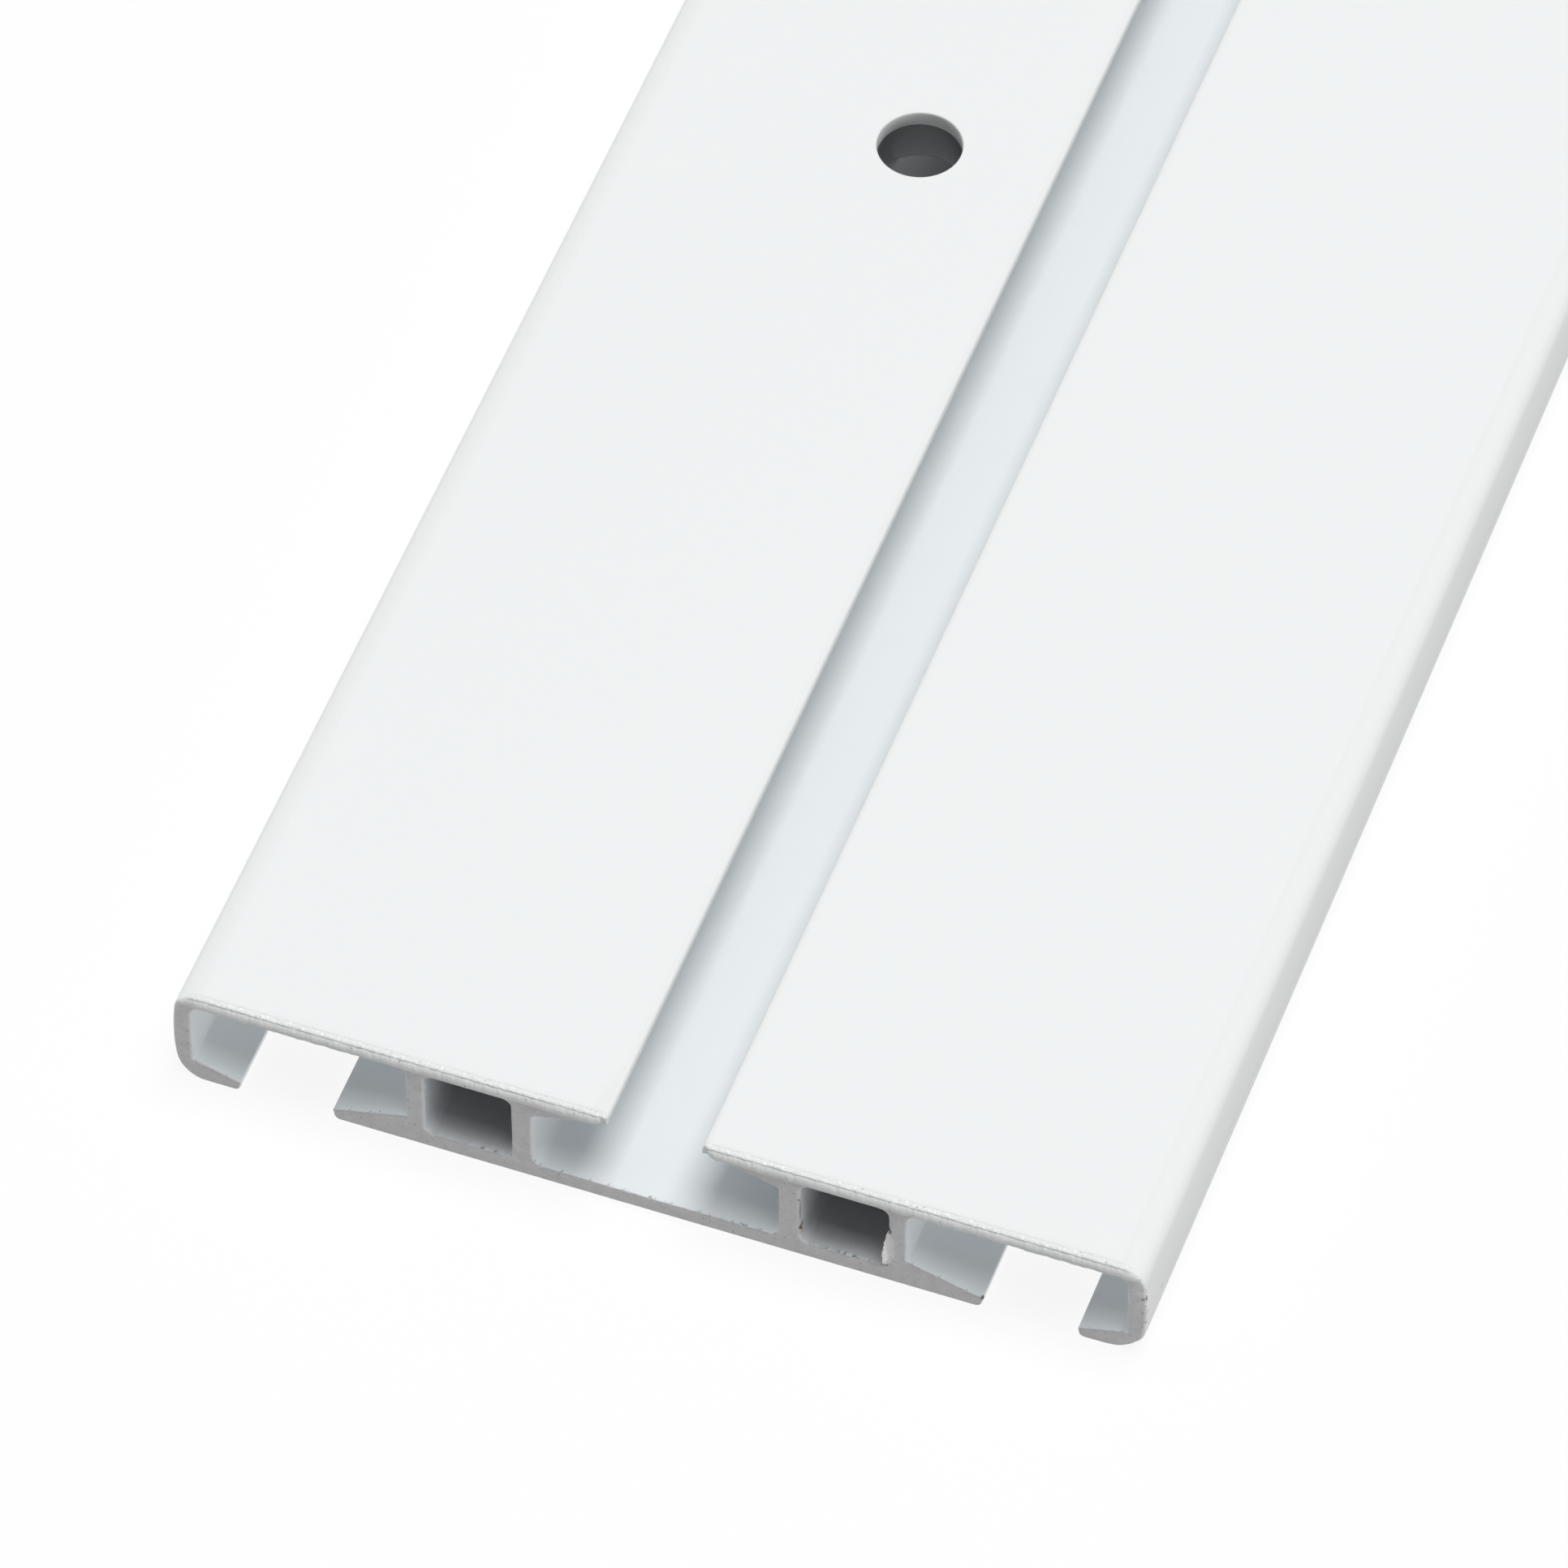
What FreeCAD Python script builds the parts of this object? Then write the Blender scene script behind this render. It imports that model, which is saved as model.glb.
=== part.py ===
import FreeCAD, Part
import os

import Sketcher

# Ceiling curtain track that can be fitted either way up: one glider slot on one side, two on the other.
# The whole track is one aluminium extrusion, sawn to length and drilled for its ceiling screws.
# X runs across the track, Y along it and Z up. The two slots face down, as the track lies on a table.
# Y = 0 is the middle of the length, X = 0 the middle of the width, Z = 0 the lower face. Millimetres.

doc = FreeCAD.newDocument("curtain_track")


# Driving dimensions

DIMENSIONS = [
    ("track_length", 1200, "sawn length"),
    ("overall_width", 62, "across the bowed side walls, at half height"),
    ("overall_height", 7.8, "from the two-slot face to the one-slot face"),
    ("side_bow", 0.4, "how far each side wall swells at half height"),
    ("glider_slot", 6, "clear width of each of the three slots, for the necks of the gliders"),
    ("side_wall", 1.25, "side wall at half height"),
    ("side_lip", 3, "how far the lip under a side wall reaches in"),
    ("outer_web", 1.2, "wall between a side channel and a hollow chamber"),
    ("chamber_width", 5.55, "clear width of a hollow chamber"),
    ("inner_web", 1.4, "wall between a hollow chamber and the middle channel"),
    ("middle_channel", 15.6, "clear width of the middle channel"),
    ("side_roof", 1, "plate over a side channel"),
    ("chamber_roof", 1.2, "plate over a hollow chamber"),
    ("base_plate", 1.15, "floor of the middle channel and of the chambers"),
    ("slot_edge", 0.7, "roof plate at the edge of the upper slot"),
    ("slot_root", 2.05, "roof plate where it meets the inner web"),
    ("lip_edge", 0.7, "side lip at its free edge"),
    ("lip_root", 1.65, "side lip where it meets the side wall"),
    ("plate_edge", 0.8, "base plate at its free edge"),
    ("plate_root", 2.25, "base plate where it meets the outer web"),
    ("top_round", 1.4, "radius along the upper outer corners"),
    ("foot_round", 1.6, "radius along the lower outer corners"),
    ("channel_round", 0.9, "radius along the roof corners of a side channel"),
    ("chamber_round", 0.6, "radius along the corners of a hollow chamber"),
    ("floor_round", 0.6, "radius along the floor corners of the middle channel"),
    ("root_round", 0.4, "radius where the sloping roof plate meets the inner web"),
    ("slot_round", 0.35, "radius along the upper edges of the upper slot"),
    ("lip_foot_round", 0.4, "radius along the lower edge of each side lip"),
    ("plate_foot_round", 0.5, "radius along the lower edges of the base plate"),
    ("edge_round", 0.1, "radius along the free edges that face into a channel"),
    ("screw_hole", 5.5, "drilled diameter, through the roof and the floor of a chamber"),
    ("screw_holes", 4, "number of screw holes"),
    ("screw_margin", 80, "from each end of the track to the nearest screw hole"),
]

# Places worked out from them: distances from the middle of the width, then heights, then lengthwise
PLACES = [
    ("shoulder", "overall_width / 2 - side_bow"),
    ("channel_side", "overall_width / 2 - side_wall"),
    ("lip_end", "channel_side - side_lip"),
    ("plate_end", "lip_end - glider_slot"),
    ("slot_side", "glider_slot / 2"),
    ("web_inside", "middle_channel / 2"),
    ("chamber_near", "web_inside + inner_web"),
    ("chamber_far", "chamber_near + chamber_width"),
    ("chamber_middle", "chamber_near + chamber_width / 2"),
    ("web_outside", "chamber_far + outer_web"),
    ("slot_under", "overall_height - slot_edge"),
    ("roof_root", "overall_height - slot_root"),
    ("channel_roof", "overall_height - side_roof"),
    ("chamber_top", "overall_height - chamber_roof"),
    ("bow_radius", "(overall_height ^ 2 / 4 + side_bow ^ 2) / (2 * side_bow)"),
    ("first_screw", "track_length / 2 - screw_margin"),
    ("screw_run", "track_length - 2 * screw_margin"),
]

dims = doc.addObject("Spreadsheet::Sheet", "dims")
for row, (alias, value, note) in enumerate(DIMENSIONS, start=1):
    dims.set(f"A{row}", alias)
    dims.set(f"B{row}", str(value))
    dims.set(f"C{row}", note)
    dims.setAlias(f"B{row}", alias)
doc.recompute()
for row, (alias, formula) in enumerate(PLACES, start=len(DIMENSIONS) + 2):
    dims.set(f"A{row}", alias)
    dims.set(f"B{row}", f"={formula}")
    dims.setAlias(f"B{row}", alias)
doc.recompute()


def size(alias):
    """The number that the sheet holds under an alias. No alias stands for nought."""
    return float(dims.get(alias)) if alias else 0.0


# Sketch and edge helpers

def plane_sketch(body, name, role):
    """An empty sketch that lies on one of the body's origin planes, such as XZ_Plane."""
    plane = next(feature for feature in body.Origin.OriginFeatures if feature.Role == role)
    sketch = body.newObject("Sketcher::SketchObject", name)
    sketch.AttachmentSupport = (plane, [""])
    sketch.MapMode = "FlatFace"
    doc.recompute()
    return sketch


def bind_all(sketch, bound):
    """Adds dimensions to the sketch, each named and bound to the sheet: (rule, name, formula)."""
    first = sketch.ConstraintCount
    sketch.addConstraint([rule for rule, name, formula in bound])
    for number, (rule, name, formula) in enumerate(bound, start=first):
        sketch.renameConstraint(number, name)
        sketch.setExpression(f"Constraints.{name}", formula)


def outline(sketch, corners):
    """Draws a closed outline through the corners: (word, hand, across, up, side that follows).

    The sheet places each corner at hand times across, and up. The side that follows is a straight line, or
    an arc that swells out by side_bow where it is called bowed. The corners go round clockwise and a
    sketch's arc the other way, so a bowed side is drawn from its far end.
    """
    spots = [FreeCAD.Vector(hand * size(across), size(up), 0) for word, hand, across, up, follows in corners]
    rules = []
    bound = []
    sides = []
    for i, (word, hand, across, up, follows) in enumerate(corners):
        start = spots[i]
        end = spots[(i + 1) % len(spots)]
        if follows == "bowed":
            swell = FreeCAD.Vector(hand * size("side_bow"), 0, 0)
            number = sketch.addGeometry(Part.Arc(end, (start + end) / 2 + swell, start), False)
            near, far = 2, 1
            bound.append((Sketcher.Constraint("Radius", number, size("bow_radius")), f"{word}_bow",
                          "dims.bow_radius"))
        else:
            number = sketch.addGeometry(Part.LineSegment(start, end), False)
            near, far = 1, 2
        sides.append((number, near, far))

    for i, (word, hand, across, up, follows) in enumerate(corners):
        number, near, far = sides[i]
        before, before_near, before_far = sides[i - 1]
        rules.append(Sketcher.Constraint("Coincident", before, before_far, number, near))
        sign = "-" if hand < 0 else ""
        bound.append((Sketcher.Constraint("DistanceX", -1, 1, number, near, spots[i].x),
                      f"{word}_across", f"{sign}dims.{across}"))
        if up:
            bound.append((Sketcher.Constraint("DistanceY", -1, 1, number, near, spots[i].y),
                          f"{word}_up", f"dims.{up}"))
        else:
            rules.append(Sketcher.Constraint("PointOnObject", number, near, -1))
    sketch.addConstraint(rules)
    bind_all(sketch, bound)


def both_hands(half):
    """A whole outline from the corners of its right half: the left half comes back the other way."""
    right = [("right_" + word, 1, across, up, follows) for word, across, up, follows in half]
    left = []
    for i in range(len(half) - 1, -1, -1):
        word, across, up, follows = half[i]
        left.append(("left_" + word, -1, across, up, half[i - 1][3] if i else ""))
    return right + left


def lengthwise_edges(shape, corners):
    """Names of the edges that run along the track through the given corners: (across, up) on either hand."""
    names = []
    for number, edge in enumerate(shape.Edges, start=1):
        spot = edge.CenterOfMass
        runs_along = edge.BoundBox.YLength > size("track_length") / 2
        for across, up in corners:
            off = abs(abs(spot.x) - size(across)) + abs(spot.z - size(up))
            if runs_along and off < 0.001:
                names.append(f"Edge{number}")
    return names


def round_off(body, name, radius, corners):
    """Rounds the lengthwise edges at the given corners, on both hands, with a radius from the sheet."""
    base = body.Tip
    fillet = body.newObject("PartDesign::Fillet", name)
    fillet.Base = (base, lengthwise_edges(base.Shape, corners))
    fillet.setExpression("Radius", f"dims.{radius}")
    doc.recompute()


# Track profile: the section is drawn once with sharp corners and extruded to the full length

# Right half of the outer outline, clockwise from the floor of the middle channel: up the inner web, out
# along the roof plate, down the bowed side wall, around its lip, through the side channel and back along
# the base plate
HALF_SECTION = [
    ("floor", "web_inside", "base_plate", ""),
    ("roof_root", "web_inside", "roof_root", ""),
    ("slot_under", "slot_side", "slot_under", ""),
    ("slot_top", "slot_side", "overall_height", ""),
    ("shoulder", "shoulder", "overall_height", "bowed"),
    ("foot", "shoulder", "", ""),
    ("lip_foot", "lip_end", "", ""),
    ("lip_tip", "lip_end", "lip_edge", ""),
    ("lip_root", "channel_side", "lip_root", ""),
    ("side_eave", "channel_side", "channel_roof", ""),
    ("web_eave", "web_outside", "channel_roof", ""),
    ("plate_root", "web_outside", "plate_root", ""),
    ("plate_tip", "plate_end", "plate_edge", ""),
    ("plate_foot", "plate_end", "", ""),
]

# Hollow chamber beside the middle channel, clockwise from its lower inner corner
CHAMBER = [
    ("near_floor", "chamber_near", "base_plate", ""),
    ("near_top", "chamber_near", "chamber_top", ""),
    ("far_top", "chamber_far", "chamber_top", ""),
    ("far_floor", "chamber_far", "base_plate", ""),
]

track = doc.addObject("PartDesign::Body", "track_profile")
track.Label = "track_profile"
doc.recompute()

section = plane_sketch(track, "section", "XZ_Plane")
outline(section, both_hands(HALF_SECTION))
chambers = both_hands(CHAMBER)
outline(section, chambers[:len(CHAMBER)])
outline(section, chambers[len(CHAMBER):])

extrusion = track.newObject("PartDesign::Pad", "extrusion")
extrusion.Profile = section
extrusion.SideType = "Symmetric"
extrusion.setExpression("Length", "dims.track_length")
doc.recompute()

# Rounds left by the die, each along the whole length
round_off(track, "shoulders", "top_round", [("shoulder", "overall_height")])
round_off(track, "feet", "foot_round", [("shoulder", "")])
round_off(track, "channel_eaves", "channel_round", [("channel_side", "channel_roof"),
                                                    ("web_outside", "channel_roof")])
round_off(track, "chamber_corners", "chamber_round", [("chamber_near", "base_plate"),
                                                      ("chamber_near", "chamber_top"),
                                                      ("chamber_far", "chamber_top"),
                                                      ("chamber_far", "base_plate")])
round_off(track, "floor_corners", "floor_round", [("web_inside", "base_plate")])
round_off(track, "roof_roots", "root_round", [("web_inside", "roof_root")])
round_off(track, "slot_lips", "slot_round", [("slot_side", "overall_height")])
round_off(track, "lip_feet", "lip_foot_round", [("lip_end", "")])
round_off(track, "plate_feet", "plate_foot_round", [("plate_end", "")])
round_off(track, "free_edges", "edge_round", [("slot_side", "slot_under"), ("lip_end", "lip_edge"),
                                              ("plate_end", "plate_edge")])

# Screw holes: drilled from above through the roof and the floor of the left chamber
screw_sketch = plane_sketch(track, "screw_sketch", "XY_Plane")
screw_sketch.setExpression("AttachmentOffset.Base.z", "dims.overall_height")
screw_spot = FreeCAD.Vector(-size("chamber_middle"), -size("first_screw"), 0)
circle = screw_sketch.addGeometry(
    Part.Circle(screw_spot, FreeCAD.Vector(0, 0, 1), size("screw_hole") / 2), False)
bind_all(screw_sketch, [
    (Sketcher.Constraint("DistanceX", -1, 1, circle, 3, screw_spot.x), "across", "-dims.chamber_middle"),
    (Sketcher.Constraint("DistanceY", -1, 1, circle, 3, screw_spot.y), "along", "-dims.first_screw"),
    (Sketcher.Constraint("Diameter", circle, size("screw_hole")), "diameter", "dims.screw_hole"),
])
doc.recompute()

drilling = track.newObject("PartDesign::Hole", "drilling")
drilling.Profile = screw_sketch
drilling.DepthType = "ThroughAll"
drilling.setExpression("Diameter", "dims.screw_hole")
doc.recompute()

screw_row = track.newObject("PartDesign::LinearPattern", "screw_row")
screw_row.Originals = [drilling]
screw_row.Direction = (screw_sketch, ["V_Axis"])
screw_row.setExpression("Length", "dims.screw_run")
screw_row.setExpression("Occurrences", "dims.screw_holes")
track.Tip = screw_row
doc.recompute()


# Export

for item in doc.Objects:
    if any(word in item.State for word in ("Invalid", "Error")):
        raise RuntimeError(f"{item.Name} did not recompute: {item.State}")

os.makedirs("parts", exist_ok=True)
for piece in [track]:
    shape = piece.Shape
    if shape.isNull() or not shape.isValid() or len(shape.Solids) != 1:
        raise RuntimeError(f"{piece.Label} is not one valid solid")
    shape.exportStep(f"parts/{piece.Label}.step")
    box = shape.BoundBox
    print(f"{piece.Label}: {box.XLength:.2f} x {box.YLength:.2f} x {box.ZLength:.2f} mm, "
          f"{shape.Volume / 1000:.1f} cm3")
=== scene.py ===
import bmesh
import bpy
import numpy as np
from bpy.props import FloatProperty, FloatVectorProperty, IntProperty, PointerProperty
from mathutils import Matrix, Vector
from mathutils.geometry import tessellate_polygon


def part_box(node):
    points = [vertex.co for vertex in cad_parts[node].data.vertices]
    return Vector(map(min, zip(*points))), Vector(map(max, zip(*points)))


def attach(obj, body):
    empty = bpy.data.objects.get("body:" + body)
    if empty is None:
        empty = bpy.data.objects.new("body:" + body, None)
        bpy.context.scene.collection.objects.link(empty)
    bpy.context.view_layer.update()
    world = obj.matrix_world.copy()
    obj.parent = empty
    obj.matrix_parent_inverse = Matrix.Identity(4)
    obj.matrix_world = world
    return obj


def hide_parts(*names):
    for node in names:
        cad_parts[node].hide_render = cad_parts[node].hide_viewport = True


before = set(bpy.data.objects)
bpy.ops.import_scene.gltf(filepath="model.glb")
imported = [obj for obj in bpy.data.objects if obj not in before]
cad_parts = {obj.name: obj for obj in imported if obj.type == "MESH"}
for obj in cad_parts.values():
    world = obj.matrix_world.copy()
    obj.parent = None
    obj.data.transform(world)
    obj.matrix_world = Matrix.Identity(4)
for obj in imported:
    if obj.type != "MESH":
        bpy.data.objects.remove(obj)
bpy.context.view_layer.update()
TRACK_LOW, TRACK_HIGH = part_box("track_profile")

bl_info = {
    "name": "Ceiling curtain track",
    "version": (1, 0, 0),
    "blender": (4, 5, 0),
    "location": "View3D > Sidebar > Curtain track",
    "description": "Builds a white coated curtain track, sawn square and drilled, on a pale studio floor",
    "category": "Object",
}

MM = 0.001
HALF_WIDTH = (TRACK_HIGH[0] - TRACK_LOW[0]) / 2
HALF_LENGTH = (TRACK_HIGH[1] - TRACK_LOW[1]) / 2
HEIGHT = TRACK_HIGH[2] - TRACK_LOW[2]


def length(name, description, default, top=2.0):
    """A length in metres for the sidebar."""
    return FloatProperty(name=name, description=description, default=default, min=0.0, max=top, precision=5,
                         unit="LENGTH", subtype="DISTANCE")


def colour(name, description, default):
    """A colour for the sidebar, in linear red, green and blue."""
    return FloatVectorProperty(name=name, description=description, default=default, size=3, min=0.0, max=1.0,
                               subtype="COLOR")


class TrackSizes(bpy.types.PropertyGroup):
    """Section of the extruded track. Its height, width and length come from the frame."""
    glider_slot: length("Glider slot", "Clear width of each of the three slots", 6 * MM)
    side_bow: length("Side bow", "How far each side wall swells at half height", 0.4 * MM)
    side_wall: length("Side wall", "Side wall at half height", 1.25 * MM)
    side_lip: length("Side lip", "How far the lip under a side wall reaches in", 3 * MM)
    outer_web: length("Outer web", "Wall between a side channel and a hollow chamber", 1.2 * MM)
    chamber_width: length("Chamber width", "Clear width of a hollow chamber", 5.55 * MM)
    inner_web: length("Inner web", "Wall between a hollow chamber and the middle channel", 1.4 * MM)
    middle_channel: length("Middle channel", "Clear width of the middle channel", 15.6 * MM)
    side_roof: length("Side roof", "Plate over a side channel", 1 * MM)
    chamber_roof: length("Chamber roof", "Plate over a hollow chamber", 1.2 * MM)
    base_plate: length("Base plate", "Floor of the middle channel and of the chambers", 1.15 * MM)
    slot_edge: length("Slot edge", "Roof plate at the edge of the upper slot", 0.7 * MM)
    slot_root: length("Slot root", "Roof plate where it meets the inner web", 2.05 * MM)
    lip_edge: length("Lip edge", "Side lip at its free edge", 0.7 * MM)
    lip_root: length("Lip root", "Side lip where it meets the side wall", 1.65 * MM)
    plate_edge: length("Plate edge", "Base plate at its free edge", 0.8 * MM)
    plate_root: length("Plate root", "Base plate where it meets the outer web", 2.25 * MM)
    top_round: length("Shoulder radius", "Radius along the upper outer corners", 1.4 * MM)
    foot_round: length("Foot radius", "Radius along the lower outer corners", 1.6 * MM)
    channel_round: length("Channel radius", "Radius along the roof corners of a side channel", 0.9 * MM)
    chamber_round: length("Chamber radius", "Radius along the corners of a hollow chamber", 0.6 * MM)
    floor_round: length("Floor radius", "Radius along the floor corners of the middle channel", 0.6 * MM)
    root_round: length("Root radius", "Radius where a sloping plate meets a wall", 0.4 * MM)
    slot_round: length("Slot radius", "Radius along the upper edges of the upper slot", 0.35 * MM)
    edge_round: length("Edge radius", "Radius along the free edges that face into a channel", 0.1 * MM)
    lip_foot_round: length("Lip foot radius", "Radius along the lower corner of a side lip", 0.4 * MM)
    plate_foot_round: length("Plate foot radius", "Radius along the lower corners of the base plate", 0.5 * MM)
    bead_down: length("Bead, down", "How far the bead of coat reaches down a sawn end", 0.7 * MM)
    bead_back: length("Bead, back", "How far behind a sawn end its bead of coat begins", 0.13 * MM)
    saw_rim: length("Saw arris, rims", "Radius of the coated arris round channels and chambers", 0.26 * MM)
    saw_edge: length("Saw arris, lower edges", "Radius of the arris along floors and the foot", 0.07 * MM)
    screw_hole: length("Screw hole", "Drilled diameter", 5.5 * MM)
    screw_rim: length("Screw hole rim", "Radius of the coated rim of a screw hole", 0.12 * MM)
    screw_margin: length("Screw margin", "From each end of the track to the nearest screw hole", 80 * MM)
    screw_holes: IntProperty(name="Screw holes", description="Number of screw holes", default=4, min=2, max=12)


class TrackColours(bpy.types.PropertyGroup):
    """Colours of the coat, of its painted cool shade inside the channels, of what shows where it is thin or
    missing, and of the floor.
    """
    coat: colour("Coat", "White powder coat", (0.85, 0.867, 0.861))
    # Painted cool shade: the same white coat, made cooler inside the channels, where shade lies
    thin: colour("Coat within", "Thinner, cooler coat inside the channels", (0.835, 0.868, 0.883))
    cut: colour("Coated saw cut", "Thin coat over the sawn ends", (0.78, 0.77, 0.775))
    bare: colour("Bare chamber", "Dull aluminium past the reach of the coat", (0.6, 0.61, 0.63))
    stain: colour("Stain", "Brown mark at a chamber's mouth", (0.2, 0.1, 0.04))
    floor: colour("Floor", "Pale floor", (0.9, 0.9, 0.9))


# Section of the track

def section_corners(sizes):
    """Right half of the outer outline as rows of across, up and radius, clockwise from the floor of the
    middle channel: inner web, roof plate, side wall, lip, side channel, base plate."""
    shoulder = HALF_WIDTH - sizes.side_bow
    channel_side = HALF_WIDTH - sizes.side_wall
    lip_end = channel_side - sizes.side_lip
    plate_end = lip_end - sizes.glider_slot
    web_inside = sizes.middle_channel / 2
    web_outside = web_inside + sizes.inner_web + sizes.chamber_width + sizes.outer_web
    slot_side = sizes.glider_slot / 2
    channel_roof = HEIGHT - sizes.side_roof
    edge = sizes.edge_round
    return np.array([
        (web_inside, sizes.base_plate, sizes.floor_round),
        (web_inside, HEIGHT - sizes.slot_root, sizes.root_round),
        (slot_side, HEIGHT - sizes.slot_edge, edge),
        (slot_side, HEIGHT, sizes.slot_round),
        (shoulder, HEIGHT, sizes.top_round),
        (shoulder, 0.0, sizes.foot_round),
        (lip_end, 0.0, sizes.lip_foot_round),
        (lip_end, sizes.lip_edge, edge),
        (channel_side, sizes.lip_root, edge),
        (channel_side, channel_roof, sizes.channel_round),
        (web_outside, channel_roof, sizes.channel_round),
        (web_outside, sizes.plate_root, edge),
        (plate_end, sizes.plate_edge, edge),
        (plate_end, 0.0, sizes.plate_foot_round),
    ])


def chamber_sides(sizes):
    """How far the two side walls of a hollow chamber are from the middle of the track."""
    near = sizes.middle_channel / 2 + sizes.inner_web
    return near, near + sizes.chamber_width


def chamber_corners(sizes):
    """Corners of the right hollow chamber, anticlockwise, so that its left side is the empty side."""
    near, far = chamber_sides(sizes)
    top = HEIGHT - sizes.chamber_roof
    radius = sizes.chamber_round
    return np.array([(near, sizes.base_plate, radius), (far, sizes.base_plate, radius), (far, top, radius),
                     (near, top, radius)])


def flipped(corners):
    """The same corners on the left of the track, in the opposite order so that they run the same way round."""
    return corners[::-1] * np.array([-1.0, 1.0, 1.0])


def rounded_outline(corners, arc_points=9, step=0.13 * MM):
    """Points of a closed outline and, for each, the radius of a convex round or infinity.

    Each corner becomes an arc that is tangent to both sides: its centre lies on the bisector, and its points
    turn evenly from one side's normal to the next. Straight runs are then cut into equal steps, half as long
    on the top of the track.
    """
    spots, radii = corners[:, :2], corners[:, 2]
    ahead = np.roll(spots, -1, axis=0) - spots
    ahead /= np.linalg.norm(ahead, axis=1)[:, None]
    behind = np.roll(ahead, 1, axis=0)
    turn = np.arctan2(behind[:, 0] * ahead[:, 1] - behind[:, 1] * ahead[:, 0], (behind * ahead).sum(axis=1))
    trim = radii * np.tan(np.abs(turn) / 2)
    left_of = np.stack([-behind[:, 1], behind[:, 0]], axis=1)
    centre = spots - behind * trim[:, None] + left_of * (radii * np.sign(turn))[:, None]
    share = np.linspace(0, 1, arc_points)
    angle = turn[:, None] * share[None, :]
    arm = -left_of * (radii * np.sign(turn))[:, None]
    points = np.stack([
        centre[:, None, 0] + arm[:, None, 0] * np.cos(angle) - arm[:, None, 1] * np.sin(angle),
        centre[:, None, 1] + arm[:, None, 0] * np.sin(angle) + arm[:, None, 1] * np.cos(angle)], axis=2)
    convex = np.where(turn < 0, radii, np.inf)
    points = points.reshape(-1, 2)
    convex = np.repeat(convex, arc_points)

    run = np.roll(points, -1, axis=0) - points
    on_top = (points[:, 1] > HEIGHT - 0.1 * MM) & (np.abs(run[:, 1]) < 0.01 * MM)
    parts = np.maximum(1, np.ceil(np.linalg.norm(run, axis=1) / np.where(on_top, step / 2, step)).astype(int))
    start = np.repeat(np.arange(len(points)), parts)
    within = np.arange(len(start)) - np.repeat(np.cumsum(parts) - parts, parts)
    share = within / parts[start]
    fine = points[start] + run[start] * share[:, None]
    limit = np.where(within == 0, convex[start], np.inf)
    return fine, limit


def bow_sides(points, sizes):
    """Swells the side walls: out by side_bow at half height, falling as a parabola to none at top and foot."""
    inner_face = HALF_WIDTH - sizes.side_wall + 0.05 * MM
    outer = np.clip((np.abs(points[:, 0]) - inner_face) / (0.5 * MM), 0, 1)
    rise = 1 - (2 * points[:, 1] / HEIGHT - 1) ** 2
    points[:, 0] += np.sign(points[:, 0]) * outer * sizes.side_bow * rise
    return points


WAVER_WAVES, WAVER_LEVEL = 9, 3.5
GRAIN_WAVES, GRAIN_LEVEL = 20, 3.2


def waver(along, shortest, longest, seed):
    """Even noise between about -1 and 1: a sum of sine waves of random phase, from shortest to longest."""
    chance = np.random.default_rng(seed)
    waves = np.geomspace(shortest, longest, WAVER_WAVES)
    phase = chance.uniform(0, 2 * np.pi, len(waves))
    return np.sin(2 * np.pi * along[..., None] / waves + phase).sum(axis=-1) / WAVER_LEVEL


def grains(along, across, shortest, longest, seed):
    """Even noise over a surface, about -1 to 1: a sum of plane waves of random length, heading and phase."""
    chance = np.random.default_rng(seed)
    waves, heading, phase = chance.uniform([[shortest], [0], [0]], [[longest], [2 * np.pi], [2 * np.pi]],
                                           (3, GRAIN_WAVES))
    run = along[..., None] * np.cos(heading) + across[..., None] * np.sin(heading)
    return np.sin(2 * np.pi * run / waves + phase).sum(axis=-1) / GRAIN_LEVEL


def hold_smallest(values, distance, span):
    """Lowest value within a span on either side of each point, then the mean over the same span."""
    count = max(1, int(round(span / distance)))
    near = np.stack([np.roll(values, shift) for shift in range(-count, count + 1)])
    lowest = near.min(axis=0)
    return np.stack([np.roll(lowest, shift) for shift in range(-count, count + 1)]).mean(axis=0)


# Marks that the saw left at the end that shows: across, up, how far they reach along the section, how far
# they stand out of the wall and how far they stand out of the end, in millimetres
SAW_MARKS = [
    (-14.72, 5.4, 0.16, 0.16, 0.06),
    (-14.72, 5.0, 0.12, -0.05, 0.0),
    (14.78, 4.75, 0.14, -0.14, 0.0),
    (5.6, 1.15, 0.15, -0.06, -0.05),
    (12.6, 1.15, 0.2, -0.06, -0.06),
    (-11.2, 1.15, 0.12, -0.04, -0.04),
    (18.4, 1.85, 0.14, -0.05, -0.06),
    (-29.25, 1.52, 0.12, 0.06, 0.08),
    (-28.75, 1.4, 0.14, 0.07, 0.02),
    (-28.2, 1.15, 0.2, 0.05, 0.02),
    (-3.2, 7.75, 0.3, 0.05, 0.05),
    (30.3, 0.25, 0.8, -0.22, -0.05),
    (30.98, 5.9, 0.25, -0.05, -0.05),
    (30.98, 4.9, 0.2, -0.06, -0.03),
]

# Die line along the right side wall: height, depth and width
DIE_LINE = (3.1 * MM, 0.06 * MM, 0.08 * MM)

# Slopes of the bead of coat along the top of an end, in degrees from level: at its crease and at its foot
BEAD_ARC = (27, 100)

# Rings in the turn of the end that shows and of the far end, then the stations between them, in millimetres
# from each end
NEAR_RINGS, FAR_RINGS = 11, 6
NEAR_STATIONS = (0.36, 0.5, 0.75, 1.2, 2.2, 4, 9, 30)
FAR_STATIONS = (0.5, 1.0, 3.0, 20)

# Width of the flat band that begins the turn, so that its smooth shading stops short of the sawn face
SUPPORT = 0.03 * MM


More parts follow.
